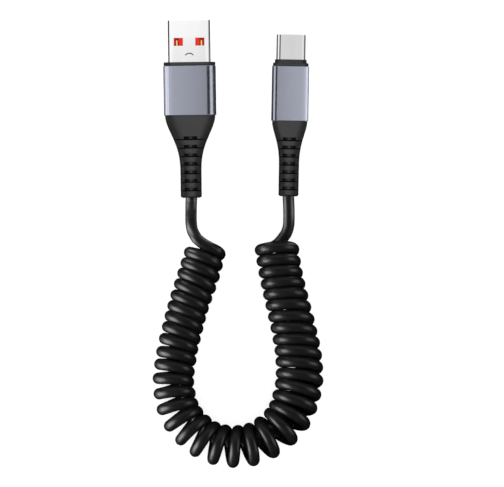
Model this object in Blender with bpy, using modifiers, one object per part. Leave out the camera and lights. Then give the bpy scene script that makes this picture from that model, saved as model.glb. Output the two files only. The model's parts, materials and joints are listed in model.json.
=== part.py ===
"""A coiled charging cable, USB-A to USB-C, lying flat: metres, +Z up, the plugs point along +Y.

Each plug is built in its own frame, with its origin where the cord leaves the boot, +Y towards the
plug's mouth, X across its width and Z through its thickness. An empty then places the plug.
"""

import math

import bmesh
import bpy
import numpy as np
from mathutils import Vector

# Clearances between pieces
FIT = 0.0001
CORD_GAP = 0.0003

# Cord
CORD_DIAMETER = 0.0032
TURNS_BETWEEN_AXIS_POINTS = 2.5
# The helix's axis as it lies, seen from above: x, y and the helix's outer diameter there
COIL_AXIS = (
    (-0.00850, -0.03950, 0.01165),
    (-0.01075, -0.04735, 0.01210),
    (-0.01340, -0.05535, 0.01180),
    (-0.01535, -0.06260, 0.01175),
    (-0.01710, -0.07050, 0.01180),
    (-0.01780, -0.07910, 0.01195),
    (-0.01510, -0.08810, 0.01210),
    (-0.00690, -0.09495, 0.01210),
    (0.00430, -0.09550, 0.01245),
    (0.01370, -0.08920, 0.01310),
    (0.01755, -0.07995, 0.01375),
    (0.01780, -0.07110, 0.01345),
    (0.01635, -0.06270, 0.01300),
    (0.01435, -0.05430, 0.01270),
    (0.01260, -0.04655, 0.01255),
    (0.01130, -0.03810, 0.01275),
)
COIL_TURNS = TURNS_BETWEEN_AXIS_POINTS * (len(COIL_AXIS) - 1)
COIL_RINGS = 49
COIL_SIDES_RESOLUTION = 6
LEAD_POINTS = 14
# How far past its end a lead's curve aims along the helix, and the step that gives a heading
LEAD_AIM_TURNS = 0.12
HEADING_STEP_TURNS = 0.01
LEAD_SIDES_RESOLUTION = 2

# USB-A plug: where its boot ends, and how far it leans to its left
A_EXIT = (-0.01281, -0.02531)
A_LEAN = math.radians(0.8)
A_SHELL_WIDTH = 0.0120
A_SHELL_THICKNESS = 0.0045
A_SHELL_LENGTH = 0.0120
A_SHELL_WALL = 0.0003
A_SHELL_CORNER = 0.0007
A_SHELL_SEAT = 0.0040
A_WINDOW_WIDTH = 0.0026
A_WINDOW_LENGTH = 0.00225
A_WINDOW_OFFSET = 0.00307
A_WINDOW_FROM_MOUTH = 0.0062
A_TONGUE_THICKNESS = 0.0018
A_TONGUE_SETBACK = 0.0008
A_CONTACT_WIDTH = 0.0010
A_CONTACT_LENGTH = 0.0072
A_CONTACT_THICKNESS = 0.00025
A_CONTACT_SETBACK = 0.0009
A_CONTACT_OFFSETS = (-0.0035, -0.0010, 0.0010, 0.0035)
A_COLLAR_LENGTH = 0.0010
A_COLLAR_INSET = 0.0001
A_SLEEVE_WIDTH = 0.0149
A_SLEEVE_THICKNESS = 0.0080
A_SLEEVE_LENGTH = 0.0141
A_SLEEVE_WALL = 0.0006
A_SLEEVE_CORNER = 0.0025
A_BOOT_LENGTH = 0.0235
A_BOOT_INSET = 0.0003
A_BOOT_NECK_WIDTH = 0.0060
A_BOOT_NECK_THICKNESS = 0.0054
A_BOOT_FLARE_START = 0.0065
A_BOOT_FLARE_POWER = 1.50
A_SLOT_FIRST = 0.00233
A_SLOT_PITCH = 0.00243

# USB-C plug: where its boot ends, and how far it leans to its left
C_EXIT = (0.01484, -0.02488)
C_LEAN = math.radians(-1.0)
C_SHELL_WIDTH = 0.00825
C_SHELL_THICKNESS = 0.0024
C_SHELL_LENGTH = 0.0071
C_SHELL_WALL = 0.00025
C_SHELL_CORNER = 0.00115
C_SHELL_SEAT = 0.0030
C_INSULATOR_SETBACK = 0.0002
C_SLOT_WIDTH = 0.0068
C_SLOT_HEIGHT = 0.00090
C_SLOT_DEPTH = 0.0052
C_CONTACT_COUNT = 12
C_CONTACT_PITCH = 0.0005
C_CONTACT_WIDTH = 0.00025
C_CONTACT_LENGTH = 0.0036
C_CONTACT_THICKNESS = 0.00010
C_CONTACT_SETBACK = 0.0010
C_CONTACT_FLOAT = 0.00002
C_COLLAR_LENGTH = 0.00094
C_COLLAR_INSET = 0.0002
C_STEP_LENGTH = 0.0010
C_STEP_MARGIN = 0.0004
C_SLEEVE_WIDTH = 0.01055
C_SLEEVE_THICKNESS = 0.0062
C_SLEEVE_LENGTH = 0.01555
C_SLEEVE_WALL = 0.0005
C_SLEEVE_CORNER = 0.0015
C_BOOT_LENGTH = 0.0215
C_BOOT_INSET = 0.00025
C_BOOT_NECK_WIDTH = 0.00572
C_BOOT_NECK_THICKNESS = 0.0051
C_BOOT_FLARE_START = 0.0070
C_BOOT_FLARE_POWER = 1.70
C_SLOT_FIRST = 0.0022
C_SLOT_PITCH = 0.00233

# Shared by both boots
BOOT_TAIL_ROUND = 0.0010
BOOT_TAIL_LENGTH = 0.0005
BOOT_SEAT = 0.0025
BOOT_SQUARENESS = 5.0
NECK_SQUARENESS = 2.6
BOOT_SIDES = 40
BOOT_FLARE_STEPS = 16
SLOT_COUNT = 7
SLOT_LENGTH = 0.00075
SLOT_WIDTH = 0.0039
SLOT_CORE_WALL = 0.0003
SLOT_WEB = 0.0014
SLOT_ARCH_STEPS = 12
BOOT_TAIL_ANGLES = (0, 30, 60, 90)
EDGE_STEPS = 4
SHARP_ANGLE = math.radians(35)

# The cord's two leads, each from its boot to the helix: x, y and height
LEAD_A_ROUTE = (
    (-0.01286, -0.02707, 0.0041),
    (-0.01288, -0.02935, 0.0047),
    (-0.01286, -0.03191, 0.0063),
    (-0.01263, -0.03390, 0.0080),
    (-0.01206, -0.03546, 0.0092),
    (-0.01080, -0.03735, 0.0102),
)
LEAD_C_ROUTE = (
    (0.01493, -0.02707, 0.0031),
    (0.01499, -0.02935, 0.0030),
    (0.01499, -0.03191, 0.0027),
    (0.01482, -0.03360, 0.0023),
    (0.01420, -0.03543, 0.0020),
    (0.01310, -0.03700, 0.00175),
)


def finish_material(name, colour, roughness, metallic):
    """A Principled material."""
    material = bpy.data.materials.new(name)
    material.use_nodes = True
    shader = material.node_tree.nodes["Principled BSDF"]
    shader.inputs["Base Color"].default_value = (*colour, 1.0)
    shader.inputs["Roughness"].default_value = roughness
    shader.inputs["Metallic"].default_value = metallic
    return material


def smooth_shade(mesh):
    """Round faces shaded smooth, with the sharper edges kept."""
    mesh.shade_smooth()
    mesh.set_sharp_from_angle(angle=SHARP_ANGLE)


def new_object(name, mesh, collection, parent=None, material=None):
    """An object in its collection, under its parent."""
    obj = bpy.data.objects.new(name, mesh)
    collection.objects.link(obj)
    obj.parent = parent
    if material:
        mesh.materials.append(material)
        smooth_shade(mesh)
    else:
        obj.hide_render = True
        obj.display_type = "WIRE"
    return obj


def bar_mesh(name, width, thickness, back, front, corner=0.0, open_ends=False):
    """A bar along Y from back to front, centred on the Y axis, with its four long edges rounded."""
    shape = bmesh.new()
    bmesh.ops.create_cube(shape, size=1.0)
    for vertex in shape.verts:
        vertex.co.x *= width
        vertex.co.y = back if vertex.co.y < 0 else front
        vertex.co.z *= thickness
    if corner > 0:
        long_edges = [e for e in shape.edges if abs(e.verts[0].co.y - e.verts[1].co.y) > 1e-9]
        bmesh.ops.bevel(
            shape, geom=long_edges, offset=corner, segments=EDGE_STEPS, profile=0.5, affect="EDGES"
        )
    if open_ends:
        shape.faces.ensure_lookup_table()
        ends = [f for f in shape.faces if abs(f.normal.y) > 0.9]
        bmesh.ops.delete(shape, geom=ends, context="FACES_ONLY")
    mesh = bpy.data.meshes.new(name)
    shape.to_mesh(mesh)
    shape.free()
    return mesh


def moved(mesh, x=0.0, z=0.0):
    """The mesh, moved across the plug or through its thickness."""
    for vertex in mesh.vertices:
        vertex.co.x += x
        vertex.co.z += z
    return mesh


def tube(name, width, thickness, back, front, corner, wall, collection, parent, material):
    """An open-ended shell with its wall inside the given outline."""
    mesh = bar_mesh(name, width, thickness, back, front, corner, open_ends=True)
    obj = new_object(name, mesh, collection, parent, material)
    solidify = obj.modifiers.new("Wall", "SOLIDIFY")
    solidify.thickness = wall
    solidify.offset = -1.0
    solidify.use_even_offset = True
    return obj


def boolean(obj, other, operation):
    """The object joined with, or cut by, another."""
    modifier = obj.modifiers.new(other.name, "BOOLEAN")
    modifier.operation = operation
    modifier.solver = "EXACT"
    modifier.object = other
    return obj


def section_point(angle, half_width, half_thickness, squareness):
    """A point on an oval that is squarer the higher its squareness is."""
    x = math.copysign(abs(math.cos(angle)) ** (2 / squareness), math.cos(angle))
    z = math.copysign(abs(math.sin(angle)) ** (2 / squareness), math.sin(angle))
    return half_width * x, half_thickness * z


def boot_stations(length, flare_start):
    """The lengths at which the boot's outline is given, close together where it curves."""
    tail = [BOOT_TAIL_LENGTH * (1 - math.cos(math.radians(a))) for a in BOOT_TAIL_ANGLES]
    flare = np.linspace(flare_start, length, BOOT_FLARE_STEPS)
    return [*tail, *flare]


def boot_section(at, sizes, shoulder):
    """Half width, half thickness and squareness of the boot at a distance from its tail."""
    neck_width, neck_thickness = sizes["neck"]
    share = (at - sizes["flare_start"]) / (sizes["length"] - sizes["flare_start"])
    share = min(max(share, 0.0), 1.0) ** sizes["power"]
    share = share * share * (3 - 2 * share)
    width = neck_width + (shoulder[0] - neck_width) * share
    thickness = neck_thickness + (shoulder[1] - neck_thickness) * share
    squareness = NECK_SQUARENESS + (BOOT_SQUARENESS - NECK_SQUARENESS) * share
    if at < BOOT_TAIL_LENGTH:
        rounding = math.sqrt(max(1 - (1 - at / BOOT_TAIL_LENGTH) ** 2, 0.0))
        pulled_in = 2 * BOOT_TAIL_ROUND * (1 - rounding)
        width -= pulled_in
        thickness -= pulled_in
    return width / 2, thickness / 2, squareness


def boot_mesh(name, sizes):
    """The boot without its slots: an oval neck lofted out to a shoulder, then the boss in the sleeve."""
    shoulder = (
        sizes["sleeve_width"] - 2 * sizes["inset"],
        sizes["sleeve_thickness"] - 2 * sizes["inset"],
    )
    boss_trim = sizes["sleeve_wall"] + FIT
    boss = (
        sizes["sleeve_width"] / 2 - boss_trim,
        sizes["sleeve_thickness"] / 2 - boss_trim,
        BOOT_SQUARENESS,
    )
    shoulder_at = sizes["length"] - FIT
    sections = [
        (at, boot_section(at, sizes, shoulder))
        for at in boot_stations(shoulder_at, sizes["flare_start"])
    ]
    sections.append((shoulder_at, boss))
    sections.append((sizes["length"] + BOOT_SEAT, boss))
    shape = bmesh.new()
    rings = []
    for at, (half_width, half_thickness, squareness) in sections:
        ring = []
        for side in range(BOOT_SIDES):
            angle = 2 * math.pi * (side + 0.5) / BOOT_SIDES
            x, z = section_point(angle, half_width, half_thickness, squareness)
            ring.append(shape.verts.new((x, at, z)))
        rings.append(ring)
    for ring, following in zip(rings, rings[1:]):
        for side in range(BOOT_SIDES):
            other = (side + 1) % BOOT_SIDES
            shape.faces.new((ring[side], following[side], following[other], ring[other]))
    shape.faces.new(rings[0])
    shape.faces.new(reversed(rings[-1]))
    bmesh.ops.recalc_face_normals(shape, faces=shape.faces)
    bmesh.ops.triangulate(shape, faces=shape.faces)
    mesh = bpy.data.meshes.new(name)
    shape.to_mesh(mesh)
    shape.free()
    return mesh


def slot_floor(x):
    """The height of a slot's floor: over the round core that the cord is in, and over the web beside it."""
    core = CORD_DIAMETER / 2 + SLOT_CORE_WALL
    return math.sqrt(max(core * core - x * x, (SLOT_WEB / 2) ** 2))


def add_slot_block(shape, at, reach, side):
    """One slot's block, from the slot's floor to beyond the boot's face."""
    half = SLOT_WIDTH / 2
    outline = [(half, slot_floor(half)), (half, reach), (-half, reach), (-half, slot_floor(half))]
    for step in range(1, SLOT_ARCH_STEPS):
        x = -half + SLOT_WIDTH * step / SLOT_ARCH_STEPS
        outline.append((x, slot_floor(x)))
    corners = [shape.verts.new((x, at - SLOT_LENGTH / 2, side * z)) for x, z in outline]
    face = shape.faces.new(corners)
    grown = bmesh.ops.extrude_face_region(shape, geom=[face])
    far = [v for v in grown["geom"] if isinstance(v, bmesh.types.BMVert)]
    bmesh.ops.translate(shape, verts=far, vec=(0, SLOT_LENGTH, 0))


def slot_cutter(name, sizes, collection, parent):
    """One cutter for all the cross slots above and below."""
    shape = bmesh.new()
    for number in range(SLOT_COUNT):
        at = sizes["slot_first"] + sizes["slot_pitch"] * number
        for side in (1, -1):
            add_slot_block(shape, at, sizes["sleeve_thickness"], side)
    bmesh.ops.recalc_face_normals(shape, faces=shape.faces)
    mesh = bpy.data.meshes.new(name)
    shape.to_mesh(mesh)
    shape.free()
    return new_object(name, mesh, collection, parent)


def build_boot(prefix, sizes, parts, cutters, parent, material):
    """A strain relief: the flared body, its boss inside the sleeve and its cross slots."""
    mesh = boot_mesh(f"{prefix}_strain_relief", sizes)
    boot = new_object(mesh.name, mesh, parts, parent, material)
    boolean(boot, slot_cutter(f"{prefix}_boot_slots", sizes, cutters, parent), "DIFFERENCE")


def build_usb_a(parts, cutters, materials):
    """The USB-A plug under an empty that stands at its boot's tail."""
    place = bpy.data.objects.new("usb_a_place", None)
    parts.objects.link(place)
    place.location = (*A_EXIT, A_SLEEVE_THICKNESS / 2)
    place.rotation_euler = (0, 0, A_LEAN)
    sleeve_back = A_BOOT_LENGTH
    sleeve_front = sleeve_back + A_SLEEVE_LENGTH
    collar_back = sleeve_front + FIT
    collar_front = sleeve_front + A_COLLAR_LENGTH
    mouth = collar_front + A_SHELL_LENGTH
    shell_back = collar_front - A_SHELL_SEAT

    build_boot(
        "usb_a",
        {
            "length": A_BOOT_LENGTH,
            "flare_start": A_BOOT_FLARE_START,
            "power": A_BOOT_FLARE_POWER,
            "neck": (A_BOOT_NECK_WIDTH, A_BOOT_NECK_THICKNESS),
            "inset": A_BOOT_INSET,
            "sleeve_width": A_SLEEVE_WIDTH,
            "sleeve_thickness": A_SLEEVE_THICKNESS,
            "sleeve_wall": A_SLEEVE_WALL,
            "slot_first": A_SLOT_FIRST,
            "slot_pitch": A_SLOT_PITCH,
        },
        parts,
        cutters,
        place,
        materials["black_rubber"],
    )

    tube(
        "usb_a_sleeve",
        A_SLEEVE_WIDTH,
        A_SLEEVE_THICKNESS,
        sleeve_back,
        sleeve_front,
        A_SLEEVE_CORNER,
        A_SLEEVE_WALL,
        parts,
        place,
        materials["anodised_grey"],
    )

    core_trim = 2 * (A_SLEEVE_WALL + FIT)
    mould_mesh = bar_mesh(
        "usb_a_inner_mould",
        A_SLEEVE_WIDTH - core_trim,
        A_SLEEVE_THICKNESS - core_trim,
        sleeve_back + BOOT_SEAT + CORD_GAP,
        collar_back + A_COLLAR_LENGTH / 2,
        A_SLEEVE_CORNER - A_SLEEVE_WALL,
    )
    mould = new_object(mould_mesh.name, mould_mesh, parts, place, materials["black_plastic"])
    collar_mesh = bar_mesh(
        "usb_a_collar",
        A_SLEEVE_WIDTH - 2 * A_COLLAR_INSET,
        A_SLEEVE_THICKNESS - 2 * A_COLLAR_INSET,
        collar_back,
        collar_front,
        A_SLEEVE_CORNER - A_COLLAR_INSET,
    )
    boolean(mould, new_object(collar_mesh.name, collar_mesh, cutters, place), "UNION")
    pocket_mesh = bar_mesh(
        "usb_a_shell_pocket",
        A_SHELL_WIDTH + 2 * FIT,
        A_SHELL_THICKNESS + 2 * FIT,
        shell_back - FIT,
        mouth,
        A_SHELL_CORNER + FIT,
    )
    boolean(mould, new_object(pocket_mesh.name, pocket_mesh, cutters, place), "DIFFERENCE")

    shell = tube(
        "usb_a_shell",
        A_SHELL_WIDTH,
        A_SHELL_THICKNESS,
        shell_back,
        mouth,
        A_SHELL_CORNER,
        A_SHELL_WALL,
        parts,
        place,
        materials["polished_steel"],
    )
    window_front = mouth - A_WINDOW_FROM_MOUTH + A_WINDOW_LENGTH / 2
    for side, word in ((-1, "left"), (1, "right")):
        window_mesh = bar_mesh(
            f"usb_a_window_{word}",
            A_WINDOW_WIDTH,
            2 * A_SHELL_THICKNESS,
            window_front - A_WINDOW_LENGTH,
            window_front,
        )
        moved(window_mesh, x=side * A_WINDOW_OFFSET)
        boolean(shell, new_object(window_mesh.name, window_mesh, cutters, place), "DIFFERENCE")

    tongue_top = A_SHELL_THICKNESS / 2 - A_SHELL_WALL - FIT
    tongue_bottom = tongue_top - A_TONGUE_THICKNESS
    tongue_mesh = bar_mesh(
        "usb_a_tongue",
        A_SHELL_WIDTH - 2 * (A_SHELL_WALL + FIT),
        A_TONGUE_THICKNESS,
        shell_back,
        mouth - A_TONGUE_SETBACK,
        A_SHELL_CORNER - A_SHELL_WALL,
    )
    moved(tongue_mesh, z=(tongue_top + tongue_bottom) / 2)
    new_object(tongue_mesh.name, tongue_mesh, parts, place, materials["orange_plastic"])

    blade_front = mouth - A_TONGUE_SETBACK - A_CONTACT_SETBACK
    for number, offset in enumerate(A_CONTACT_OFFSETS, 1):
        blade_mesh = bar_mesh(
            f"usb_a_contact_{number}",
            A_CONTACT_WIDTH,
            A_CONTACT_THICKNESS,
            blade_front - A_CONTACT_LENGTH,
            blade_front,
        )
        moved(blade_mesh, x=offset, z=tongue_bottom - FIT - A_CONTACT_THICKNESS / 2)
        new_object(blade_mesh.name, blade_mesh, parts, place, materials["gold"])


def build_usb_c(parts, cutters, materials):
    """The USB-C plug under an empty that stands at its boot's tail."""
    place = bpy.data.objects.new("usb_c_place", None)
    parts.objects.link(place)
    place.location = (*C_EXIT, C_SLEEVE_THICKNESS / 2)
    place.rotation_euler = (0, 0, C_LEAN)
    sleeve_back = C_BOOT_LENGTH
    sleeve_front = sleeve_back + C_SLEEVE_LENGTH
    collar_back = sleeve_front + FIT
    collar_front = sleeve_front + C_COLLAR_LENGTH
    step_front = collar_front + C_STEP_LENGTH
    mouth = step_front + C_SHELL_LENGTH
    shell_back = step_front - C_SHELL_SEAT

    build_boot(
        "usb_c",
        {
            "length": C_BOOT_LENGTH,
            "flare_start": C_BOOT_FLARE_START,
            "power": C_BOOT_FLARE_POWER,
            "neck": (C_BOOT_NECK_WIDTH, C_BOOT_NECK_THICKNESS),
            "inset": C_BOOT_INSET,
            "sleeve_width": C_SLEEVE_WIDTH,
            "sleeve_thickness": C_SLEEVE_THICKNESS,
            "sleeve_wall": C_SLEEVE_WALL,
            "slot_first": C_SLOT_FIRST,
            "slot_pitch": C_SLOT_PITCH,
        },
        parts,
        cutters,
        place,
        materials["black_rubber"],
    )

    tube(
        "usb_c_sleeve",
        C_SLEEVE_WIDTH,
        C_SLEEVE_THICKNESS,
        sleeve_back,
        sleeve_front,
        C_SLEEVE_CORNER,
        C_SLEEVE_WALL,
        parts,
        place,
        materials["anodised_grey"],
    )

    core_trim = 2 * (C_SLEEVE_WALL + FIT)
    mould_mesh = bar_mesh(
        "usb_c_inner_mould",
        C_SLEEVE_WIDTH - core_trim,
        C_SLEEVE_THICKNESS - core_trim,
        sleeve_back + BOOT_SEAT + CORD_GAP,
        collar_back + C_COLLAR_LENGTH / 2,
        C_SLEEVE_CORNER - C_SLEEVE_WALL,
    )
    mould = new_object(mould_mesh.name, mould_mesh, parts, place, materials["black_plastic"])
    collar_mesh = bar_mesh(
        "usb_c_collar",
        C_SLEEVE_WIDTH - 2 * C_COLLAR_INSET,
        C_SLEEVE_THICKNESS - 2 * C_COLLAR_INSET,
        collar_back,
        collar_front,
        C_SLEEVE_CORNER - C_COLLAR_INSET,
    )
    boolean(mould, new_object(collar_mesh.name, collar_mesh, cutters, place), "UNION")
    step_mesh = bar_mesh(
        "usb_c_collar_step",
        C_SHELL_WIDTH + 2 * C_STEP_MARGIN,
        C_SHELL_THICKNESS + 2 * C_STEP_MARGIN,
        collar_back + C_COLLAR_LENGTH / 2,
        step_front,
        C_SHELL_CORNER + C_STEP_MARGIN,
    )
    boolean(mould, new_object(step_mesh.name, step_mesh, cutters, place), "UNION")
    pocket_mesh = bar_mesh(
        "usb_c_shell_pocket",
        C_SHELL_WIDTH + 2 * FIT,
        C_SHELL_THICKNESS + 2 * FIT,
        shell_back - FIT,
        mouth,
        C_SHELL_CORNER + FIT,
    )
    boolean(mould, new_object(pocket_mesh.name, pocket_mesh, cutters, place), "DIFFERENCE")

    tube(
        "usb_c_shell",
        C_SHELL_WIDTH,
        C_SHELL_THICKNESS,
        shell_back,
        mouth,
        C_SHELL_CORNER,
        C_SHELL_WALL,
        parts,
        place,
        materials["satin_steel"],
    )

    insert_front = mouth - C_INSULATOR_SETBACK
    insert_trim = C_SHELL_WALL + FIT
    insert_mesh = bar_mesh(
        "usb_c_insulator",
        C_SHELL_WIDTH - 2 * insert_trim,
        C_SHELL_THICKNESS - 2 * insert_trim,
        shell_back,
        insert_front,
        C_SHELL_CORNER - insert_trim,
    )
    insert = new_object(insert_mesh.name, insert_mesh, parts, place, materials["black_plastic"])
    slot_mesh = bar_mesh(
        "usb_c_tongue_slot",
        C_SLOT_WIDTH,
        C_SLOT_HEIGHT,
        insert_front - C_SLOT_DEPTH,
        mouth + C_SHELL_LENGTH,
    )
    boolean(insert, new_object(slot_mesh.name, slot_mesh, cutters, place), "DIFFERENCE")

    contact_front = insert_front - C_CONTACT_SETBACK
    contact_height = C_SLOT_HEIGHT / 2 - C_CONTACT_FLOAT - C_CONTACT_THICKNESS / 2
    for side, word in ((1, "upper"), (-1, "lower")):
        for number in range(C_CONTACT_COUNT):
            contact_mesh = bar_mesh(
                f"usb_c_contact_{word}_{number + 1}",
                C_CONTACT_WIDTH,
                C_CONTACT_THICKNESS,
                contact_front - C_CONTACT_LENGTH,
                contact_front,
            )
            across = (number - (C_CONTACT_COUNT - 1) / 2) * C_CONTACT_PITCH
            moved(contact_mesh, x=across, z=side * contact_height)
            new_object(contact_mesh.name, contact_mesh, parts, place, materials["gold"])


def smooth_row(points, at):
    """A smooth curve through evenly numbered points, read at a number between them."""
    points = np.asarray(points, float)
    before = 2 * points[0] - points[1]
    after = 2 * points[-1] - points[-2]
    padded = np.vstack([before, points, after])
    span = min(max(int(math.floor(at)), 0), len(points) - 2)
    t = at - span
    p0, p1, p2, p3 = padded[span : span + 4]
    return p1 + 0.5 * t * (
        (p2 - p0) + t * ((2 * p0 - 5 * p1 + 4 * p2 - p3) + t * (3 * (p1 - p2) + p3 - p0))
    )


def coil_axis(turn):
    """The axis point at a turn count, resting its turns on the floor, and the outer diameter there."""
    x, y, diameter = map(float, smooth_row(COIL_AXIS, turn / TURNS_BETWEEN_AXIS_POINTS))
    return Vector((x, y, diameter / 2)), diameter


def coil_strand(turn):
    """The cord's centre at a turn count: on top at whole turns, and under the axis half a turn on."""
    centre, diameter = coil_axis(turn)
    heading = coil_axis(turn + HEADING_STEP_TURNS)[0] - coil_axis(turn - HEADING_STEP_TURNS)[0]
    heading.z = 0
    sideways = Vector((0, 0, 1)).cross(heading.normalized())
    angle = math.pi / 2 - 2 * math.pi * turn
    radius = (diameter - CORD_DIAMETER) / 2
    return centre + radius * (math.cos(angle) * sideways + Vector((0, 0, math.sin(angle))))


def cord_object(name, points, radii, resolution, collection, material):
    """A cord solid: a straight-segment curve through its points with a round bevel and closed ends."""
    curve = bpy.data.curves.new(name, "CURVE")
    curve.dimensions = "3D"
    curve.bevel_depth = 1.0
    curve.bevel_resolution = resolution
    curve.use_fill_caps = True
    spline = curve.splines.new("POLY")
    spline.points.add(len(points) - 1)
    for control, point, radius in zip(spline.points, points, radii):
        control.co = (*point, 1.0)
        control.radius = radius
    curve.materials.append(material)
    obj = bpy.data.objects.new(name, curve)
    collection.objects.link(obj)
    return obj


def lead_points(plug_exit, height, lean, route, strand_turn, inward):
    """A lead's centres: straight out of the boot, through its route and onto the helix."""
    back = Vector((math.sin(lean), -math.cos(lean), 0))
    start = Vector((*plug_exit, height)) + back * CORD_GAP
    joint = coil_strand(strand_turn)
    onward = coil_strand(strand_turn + inward)
    through = [start, *(Vector(point) for point in route), joint, onward]
    last = len(through) - 2
    return [smooth_row(through, last * i / (LEAD_POINTS - 1)) for i in range(LEAD_POINTS)]


def coil_turns_clear_of_leads():
    """The turn counts at which the coil's solid starts and ends, just clear of the leads' sides."""
    clear = CORD_DIAMETER / 2 + CORD_GAP
    first = (coil_axis(1)[0] - coil_axis(0)[0]).length
    last = (coil_axis(COIL_TURNS)[0] - coil_axis(COIL_TURNS - 1)[0]).length
    return clear / first, COIL_TURNS - clear / last


def build_cord(parts, material):
    """The cord as it lies: two leads and, between them, one thick tube for the helix."""
    thickness = CORD_DIAMETER / 2
    radii = [thickness] * LEAD_POINTS
    lead_a = lead_points(A_EXIT, A_SLEEVE_THICKNESS / 2, A_LEAN, LEAD_A_ROUTE, 0, LEAD_AIM_TURNS)
    cord_object("cord_lead_a", lead_a, radii, LEAD_SIDES_RESOLUTION, parts, material)
    lead_c = lead_points(
        C_EXIT, C_SLEEVE_THICKNESS / 2, C_LEAN, LEAD_C_ROUTE, COIL_TURNS, -LEAD_AIM_TURNS
    )
    cord_object("cord_lead_c", lead_c, radii, LEAD_SIDES_RESOLUTION, parts, material)
    first, last = coil_turns_clear_of_leads()
    rings = [coil_axis(turn) for turn in np.linspace(first, last, COIL_RINGS)]
    centres = [centre for centre, _ in rings]
    outer = [diameter / 2 for _, diameter in rings]
    cord_object("curly_cord", centres, outer, COIL_SIDES_RESOLUTION, parts, material)


def build_cable():
    """Clears the scene and builds the whole cable."""
    for obj in list(bpy.data.objects):
        bpy.data.objects.remove(obj)
    parts = bpy.data.collections.new("coiled_usb_cable")
    cutters = bpy.data.collections.new("cutters")
    bpy.context.scene.collection.children.link(parts)
    bpy.context.scene.collection.children.link(cutters)
    materials = {
        "polished_steel": finish_material("polished_steel", (0.86, 0.86, 0.87), 0.18, 1.0),
        "satin_steel": finish_material("satin_steel", (0.72, 0.72, 0.73), 0.30, 1.0),
        "anodised_grey": finish_material("anodised_grey", (0.30, 0.31, 0.35), 0.38, 1.0),
        "black_plastic": finish_material("black_plastic", (0.02, 0.02, 0.02), 0.35, 0.0),
        "black_rubber": finish_material("black_rubber", (0.03, 0.03, 0.03), 0.50, 0.0),
        "orange_plastic": finish_material("orange_plastic", (0.85, 0.16, 0.03), 0.40, 0.0),
        "gold": finish_material("gold", (0.80, 0.58, 0.22), 0.25, 1.0),
    }
    build_usb_a(parts, cutters, materials)
    build_usb_c(parts, cutters, materials)
    build_cord(parts, materials["black_rubber"])


build_cable()
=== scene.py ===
import json
import math

import bmesh
import bpy
import numpy as np
from mathutils import Matrix, Vector


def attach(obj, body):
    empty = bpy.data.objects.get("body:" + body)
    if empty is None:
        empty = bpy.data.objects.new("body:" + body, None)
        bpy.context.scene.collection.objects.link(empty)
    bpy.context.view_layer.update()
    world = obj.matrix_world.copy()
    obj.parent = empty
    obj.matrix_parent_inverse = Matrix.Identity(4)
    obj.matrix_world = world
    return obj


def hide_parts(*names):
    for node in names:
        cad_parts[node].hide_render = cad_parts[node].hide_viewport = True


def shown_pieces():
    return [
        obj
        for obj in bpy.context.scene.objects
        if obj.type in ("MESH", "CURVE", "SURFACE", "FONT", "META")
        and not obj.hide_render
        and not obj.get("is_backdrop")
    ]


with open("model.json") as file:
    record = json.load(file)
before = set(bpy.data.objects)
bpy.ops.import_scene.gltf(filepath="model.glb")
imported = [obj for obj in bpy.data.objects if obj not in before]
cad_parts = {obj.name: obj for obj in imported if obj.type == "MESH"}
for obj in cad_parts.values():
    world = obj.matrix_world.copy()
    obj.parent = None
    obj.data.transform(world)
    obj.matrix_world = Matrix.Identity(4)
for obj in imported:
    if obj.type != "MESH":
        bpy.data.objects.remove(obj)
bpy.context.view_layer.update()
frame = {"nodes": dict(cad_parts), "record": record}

# The photograph's scale and framing, in metres; +Y is up the photograph
PHOTO_WIDTH_PIXELS = 504
METRES_PER_PIXEL = 0.0002845
PHOTO_CENTRE = (0.00447, -0.03831)
FOCUS_HEIGHT = 0.006
LENS = 500.0
SENSOR = 36.0
CLIP_START = 0.01
CLIP_END = 10.0

# Cord: its helix's axis, seen from above, with the helix's outer diameter at each point
CORD_DIAMETER = 0.0033
CORD_GAP = 0.0003
CORD_INTO_BOOT = 0.0010
TURNS_BETWEEN_AXIS_POINTS = 2.5
COIL_AXIS = (
    (-0.00850, -0.03950, 0.01165),
    (-0.01075, -0.04735, 0.01210),
    (-0.01340, -0.05535, 0.01180),
    (-0.01535, -0.06260, 0.01175),
    (-0.01710, -0.07050, 0.01180),
    (-0.01780, -0.07910, 0.01195),
    (-0.01510, -0.08810, 0.01210),
    (-0.00690, -0.09495, 0.01210),
    (0.00430, -0.09550, 0.01245),
    (0.01370, -0.08920, 0.01310),
    (0.01755, -0.07995, 0.01375),
    (0.01780, -0.07110, 0.01345),
    (0.01635, -0.06270, 0.01300),
    (0.01435, -0.05430, 0.01270),
    (0.01260, -0.04655, 0.01255),
    (0.01130, -0.03810, 0.01275),
)
COIL_TURNS = TURNS_BETWEEN_AXIS_POINTS * (len(COIL_AXIS) - 1)
# The turns lean over: how far one stands to the right and up the photograph per metre of its height
TURN_LEAN = (-0.11, 0.153)
# How the turns lie at the same points: how far each is pushed on along the axis as a whole, and how
# much further than that its side inside the U is pushed on
TURN_WAYS = (
    (0.00000, -0.00015),
    (-0.00010, -0.00005),
    (-0.00050, -0.00010),
    (-0.00045, 0.00000),
    (-0.00025, -0.00035),
    (0.00005, -0.00040),
    (0.00040, -0.00050),
    (0.00030, -0.00035),
    (0.00045, -0.00055),
    (0.00105, -0.00100),
    (0.00035, -0.00035),
    (0.00015, 0.00035),
    (-0.00005, 0.00065),
    (-0.00015, 0.00045),
    (-0.00005, 0.00000),
    (-0.00025, -0.00035),
)
POINTS_PER_TURN = 48
LEAD_POINTS = 40
CORD_SIDES_RESOLUTION = 10
LEAD_A_ROUTE = (
    (-0.01286, -0.02707, 0.0041),
    (-0.01288, -0.02935, 0.0047),
    (-0.01286, -0.03191, 0.0063),
    (-0.01263, -0.03390, 0.0080),
    (-0.01206, -0.03546, 0.0092),
    (-0.01080, -0.03735, 0.0102),
)
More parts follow.
